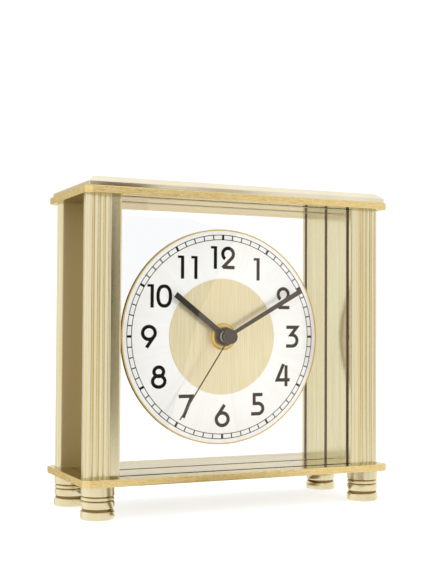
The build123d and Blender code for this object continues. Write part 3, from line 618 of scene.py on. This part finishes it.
def arc(x, y, radius_x, radius_y, start, end):
    """Points on an ellipse's arc from start to end degrees; clockwise where end is the smaller."""
    count = max(2, math.ceil(abs(end - start) / ARC_STEP)) + 1
    turns = [math.radians(start + (end - start) * i / (count - 1)) for i in range(count)]
    return [(x + radius_x * math.cos(t), y + radius_y * math.sin(t)) for t in turns]


def loop(x, y, radius_x, radius_y, fullness=2.0):
    """A closed round. A fullness over 2 fills its corners out, as on a nought."""
    share = 2 / fullness
    points = []
    for x_unit, y_unit in arc(0, 0, 1, 1, 0, 360)[:-1]:
        points.append(
            (
                x + radius_x * math.copysign(abs(x_unit) ** share, x_unit),
                y + radius_y * math.copysign(abs(y_unit) ** share, y_unit),
            )
        )
    return points


class Print:
    """A thin raised print of flat strokes, on a plane that faces -Y."""

    def __init__(self, centre):
        self.mesh = bmesh.new()
        self.centre = centre
        self.strokes = 0

    def edges(self, points, width, closed):
        """The points to each side of a stroke, mitred at its corners."""
        count = len(points)
        flat = [Vector(p) for p in points]
        sides = []
        for i, point in enumerate(flat):
            ways = []
            if i or closed:
                ways.append((point - flat[i - 1]).normalized())
            if i < count - 1 or closed:
                ways.append((flat[(i + 1) % count] - point).normalized())
            along = sum(ways, Vector((0, 0))).normalized()
            across = Vector((-along.y, along.x))
            mitre = width / 2 / max(SHARPEST_MITRE, along.dot(ways[0]))
            sides.append((point + across * mitre, point - across * mitre))
        return sides

    def stroke(self, points, width=STROKE, closed=False):
        """Adds one stroke as a closed thin solid, a hair higher than the one before."""
        sides = self.edges(points, width, closed)
        top = -(PRINT_RISE + STROKE_STEP * (self.strokes % STROKE_STEPS)) * MM
        bottom = PRINT_SINK * MM
        self.strokes += 1
        rows = []
        for left, right in sides:
            corners = [(left, bottom), (left, top), (right, top), (right, bottom)]
            places = [self.centre + Vector((p.x * MM, y, p.y * MM)) for p, y in corners]
            rows.append([self.mesh.verts.new(place) for place in places])
        for i in range(len(rows) if closed else len(rows) - 1):
            here, there = rows[i], rows[(i + 1) % len(rows)]
            for k in range(4):
                self.mesh.faces.new((here[k], here[(k + 1) % 4], there[(k + 1) % 4], there[k]))
        if not closed:
            self.mesh.faces.new(rows[0][::-1])
            self.mesh.faces.new(rows[-1])

    def finished(self, name):
        """The print as an object."""
        bmesh.ops.recalc_face_normals(self.mesh, faces=self.mesh.faces[:])
        data = bpy.data.meshes.new(name)
        self.mesh.to_mesh(data)
        self.mesh.free()
        return linked(name, data)


TOP, BOTTOM = NUMERAL_TOP, -NUMERAL_TOP
HALF = STROKE / 2
FLAG_TOP = TOP + HALF - FLAG_STROKE / 2
SIX_BOWL = (0.0, -1.6, 3.05, 2.9)


def six():
    """A straight stem that runs into a round bowl."""
    x, y, radius_x, radius_y = SIX_BOWL
    bowl = loop(x, y, radius_x, radius_y)
    return [(bowl, STROKE, True), ([(1.15, TOP + 0.55), (-2.75, -0.45)], STROKE, False)]


def three():
    """A flat top, a diagonal in to the waist and a round bowl."""
    bowl = arc(0.0, -1.83, 2.75, 2.68, 92, -90)
    return [([(-3.05, TOP), (2.6, TOP), (-0.5, 0.85)] + bowl + [(-3.2, BOTTOM)], STROKE, False)]


def two():
    """A round head that runs down into a flat base."""
    head = arc(0.1, 1.8, 2.75, 2.7, 238, -44)
    return [(head + [(-2.2, BOTTOM + 0.35), (-1.9, BOTTOM + 0.05), (3.5, BOTTOM + 0.05)], STROKE, False)]


def five():
    """A flat top, an upright and a round bowl."""
    bowl = arc(0.3, -2.07, 2.5, 2.42, 90, -90)
    return [([(2.6, TOP), (-1.8, TOP), (-1.8, 0.35)] + bowl + [(-3.4, BOTTOM)], STROKE, False)]


def turned_over(strokes):
    """Strokes turned half round about their middle."""
    return [([(-x, -y) for x, y in points], width, closed) for points, width, closed in strokes]


# Each digit's strokes, as (points, width, closed), centred on its own middle.
DIGITS = {
    "0": [(loop(0, 0, 3.05, TOP, 2.35), STROKE, True)],
    "1": [
        ([(0, BOTTOM - HALF), (0, TOP + HALF)], STROKE, False),
        ([(-2.35, FLAG_TOP), (0, FLAG_TOP)], FLAG_STROKE, False),
    ],
    "2": two(),
    "3": three(),
    "4": [
        ([(0.35, TOP + HALF), (-3.05, -2.25), (3.75, -2.25)], STROKE, False),
        ([(1.75, TOP + 0.2), (1.75, BOTTOM - HALF)], STROKE, False),
    ],
    "5": five(),
    "6": six(),
    "7": [([(-3.6, TOP), (2.9, TOP), (-1.35, BOTTOM - HALF)], STROKE, False)],
    "8": [(loop(0, 2.4, 2.35, 2.1), STROKE, True), (loop(0, -1.95, 3.0, 2.55), STROKE, True)],
    "9": turned_over(six()),
}
# How far the two digits of 10, 11 and 12 stand apart, and how far their pair's middle is from the first.
PAIRS = {"10": (5.9, 3.5), "11": (6.7, 2.1), "12": (6.4, 3.9)}


def fine_circle(radius, count=240):
    """A circle's points."""
    turns = [math.tau * i / count for i in range(count)]
    return [(radius * math.cos(turn), radius * math.sin(turn)) for turn in turns]


def dial_print():
    """The minute track and the numerals, printed on the dial plate."""
    low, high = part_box("dial_plate")
    centre = Vector(((low.x + high.x) / 2, low.y, (low.z + high.z) / 2))
    ink = Print(centre)
    for radius in (TRACK_INNER, TRACK_OUTER):
        ink.stroke(fine_circle(radius), TRACK_LINE, closed=True)
    for minute in range(60):
        turn = math.radians(6 * minute)
        way = Vector((math.sin(turn), math.cos(turn)))
        width = MINUTE_TICK if minute % 5 else HOUR_TICK
        ink.stroke([way * TRACK_INNER, way * TRACK_OUTER], width)
    for hour in range(1, 13):
        turn = math.radians(30 * hour)
        middle = Vector((math.sin(turn), math.cos(turn))) * NUMERAL_RADIUS
        text = str(hour)
        gap, shift = PAIRS.get(text, (0.0, 0.0))
        for i, digit in enumerate(text):
            offset = middle + Vector((gap * i - shift * bool(gap), 0))
            for points, width, closed in DIGITS[digit]:
                ink.stroke([Vector(p) + offset for p in points], width, closed)
    obj = ink.finished("dial_print")
    obj.data.materials.append(printed_ink())
    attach(obj, "case")


# ---------------------------------------------------------------- camera and studio


def camera():
    """The photograph's viewpoint, as a camera with no shift."""
    yaw, pitch, roll = (math.radians(a) for a in (CAMERA_YAW, CAMERA_PITCH, CAMERA_ROLL))
    forward = Vector((math.sin(yaw) * math.cos(pitch), math.cos(yaw) * math.cos(pitch), math.sin(pitch)))
    level = Vector((math.cos(yaw), -math.sin(yaw), 0.0))
    upright = level.cross(forward)
    right = level * math.cos(roll) + upright * math.sin(roll)
    up = upright * math.cos(roll) - level * math.sin(roll)
    data = bpy.data.cameras.new("camera")
    data.lens = CAMERA_LENS
    obj = linked("camera", data)
    turn = Matrix((right, up, -forward)).transposed()
    obj.matrix_world = Matrix.Translation(CAMERA_PLACE) @ turn.to_4x4()
    bpy.context.scene.camera = obj


def glowing(name, grey, colour, strength):
    """A matt grey that also glows in a colour, for the studio's cards and floor."""
    finish = Finish(name, Base_Color=(grey, grey, grey, 1.0), Roughness=0.9, Specular_IOR_Level=0.0)
    finish.set(finish.shader, Emission_Color=(*colour, 1.0), Emission_Strength=strength)
    return finish.material


def flat_piece(name, corners, material):
    """A flat polygon for the studio."""
    data = bpy.data.meshes.new(name)
    data.from_pydata(corners, [], [tuple(range(len(corners)))])
    data.materials.append(material)
    obj = linked(name, data)
    return obj


def floor():
    """A wide, plain, pale floor. Reflections look past it to the even surround."""
    half = FLOOR_SIZE / 2
    corners = [(-half, -half, 0), (half, -half, 0), (half, half, 0), (-half, half, 0)]
    piece = flat_piece("floor", corners, glowing("floor", FLOOR_GREY, WHITE, FLOOR_GLOW))
    piece.visible_glossy = False


def reflected_card(name, corners, colour):
    """A card that only reflections see, black or glowing in a colour."""
    card = flat_piece(name, corners, glowing(name, 0.0, colour, 1.0))
    card.visible_camera = False
    card.visible_diffuse = False
    card.visible_transmission = False
    card.visible_shadow = False


def box_outline(left, right, bottom, top):
    """A rectangle's corners."""
    return [(left, bottom), (right, bottom), (right, top), (left, top)]


# Upright cards in front of the clock, as an outline in x and z and a colour. The black one is what the
# front pane's left half mirrors, up to the slanting edge of its reflection; the olive one is for the left
# column's flat, and the streaks are for the cap's front bevel.
FRONT_CARDS = {
    "window_card": (
        [
            (0.352, -0.09),
            (0.352, 0.262),
            (0.5, 0.262),
            (0.574, 0.244),
            (0.531, 0.161),
            (0.5015, 0.103),
            (0.459, -0.05),
            (0.446, -0.09),
        ],
        BLACK,
    ),
    "streak_card": (box_outline(0.305, 0.41, 0.265, 0.4), (0.16, 0.09, 0.03)),
    "faint_card": (box_outline(0.5, 0.6, 0.3, 0.35), (0.4, 0.33, 0.16)),
    "olive_card": (box_outline(0.12, 0.352, -0.09, 0.25), (0.5, 0.455, 0.34)),
}

# Upright cards behind the clock: the left one darkens the faces that look left, the wall one colours the
# right side's inner wall, and the low one warms the ceiling.
BACK_CARDS = {
    "left_card": (box_outline(-0.56, -0.2, -0.9, 0.9), (0.72, 0.65, 0.5)),
    "wall_card": (box_outline(-1.2, -0.56, -0.9, 0.9), (1.06, 1.12, 1.1)),
    "low_card": (box_outline(0.2, 1.1, -0.7, 0.02), (1.15, 1.0, 0.7)),
}

# The upright card to the right of the clock, as an outline in y and z.
SIDE_CARD_X = 1.0
SIDE_CARD, SIDE_COLOUR = box_outline(-1.2, -0.2, -0.1, 0.5), (0.86, 0.8, 0.64)

# The shade on the table that the feet mirror: under the clock, and where it falls to the front.
SHADE_HEIGHT = 1 * MM
SHADE_COLOUR = (0.24, 0.19, 0.11)
SHADE_CARDS = {
    "under_card": box_outline(-0.055, 0.055, -0.012, 0.028),
    "wedge_card": [(-0.057, -0.026), (0.021, -0.116), (0.0596, -0.053), (-0.057, -0.02)],
}


def cards():
    """Cards round the clock, which only its polished surfaces see."""
    for y, group in ((-CARD_DISTANCE, FRONT_CARDS), (CARD_DISTANCE, BACK_CARDS)):
        for name, (outline, colour) in group.items():
            reflected_card(name, [(x, y, z) for x, z in outline], colour)
    reflected_card("side_card", [(SIDE_CARD_X, y, z) for y, z in SIDE_CARD], SIDE_COLOUR)
    for name, outline in SHADE_CARDS.items():
        reflected_card(name, [(x, y, SHADE_HEIGHT) for x, y in outline], SHADE_COLOUR)


def key_light():
    """A small soft spot from the right front, which draws the hands' shadows to the left."""
    low, high = cad_box
    middle = (low + high) / 2
    turn = math.radians(KEY_AZIMUTH)
    data = bpy.data.lights.new("key", "SPOT")
    data.shadow_soft_size = KEY_RADIUS
    data.spot_size = math.radians(KEY_CONE)
    data.spot_blend = KEY_BLEND
    data.energy = KEY_POWER
    data.color = KEY_COLOUR
    obj = linked("key", data)
    obj.location = middle + Vector((math.sin(turn), -math.cos(turn), 0)) * KEY_DISTANCE
    obj.rotation_euler = (middle - obj.location).to_track_quat("-Z", "Y").to_euler()
    obj.visible_camera = False
    obj.visible_glossy = False


def surround():
    """A white surround, a little brighter behind the clock (along Y) and overhead (along Z)."""
    world = bpy.data.worlds.new("surround")
    world.use_nodes = True
    nodes, links = world.node_tree.nodes, world.node_tree.links
    background = nodes["Background"]
    background.inputs["Color"].default_value = (*WHITE, 1.0)
    way = nodes.new("ShaderNodeSeparateXYZ")
    links.new(nodes.new("ShaderNodeTexCoord").outputs["Generated"], way.inputs[0])
    total = nodes.new("ShaderNodeMath")
    ramps = (("Y", -0.3, 0.3, WORLD_FRONT, WORLD_BEHIND), ("Z", 0.3, 0.8, 0.0, WORLD_OVERHEAD))
    for i, (axis, start, end, low, high) in enumerate(ramps):
        ramp = nodes.new("ShaderNodeMapRange")
        ramp.inputs["From Min"].default_value = start
        ramp.inputs["From Max"].default_value = end
        ramp.inputs["To Min"].default_value = low
        ramp.inputs["To Max"].default_value = high
        links.new(way.outputs[axis], ramp.inputs["Value"])
        links.new(ramp.outputs[0], total.inputs[i])
    links.new(total.outputs[0], background.inputs["Strength"])
    bpy.context.scene.world = world
    bpy.context.scene.view_settings.view_transform = "Standard"


# ---------------------------------------------------------------- the whole

camera()
surround()
floor()
cards()
key_light()
dress_cad_nodes()
for node_name, roll in EDGE_ROLLS.items():
    soften_edges(node_name, roll * MM)
dial_print()
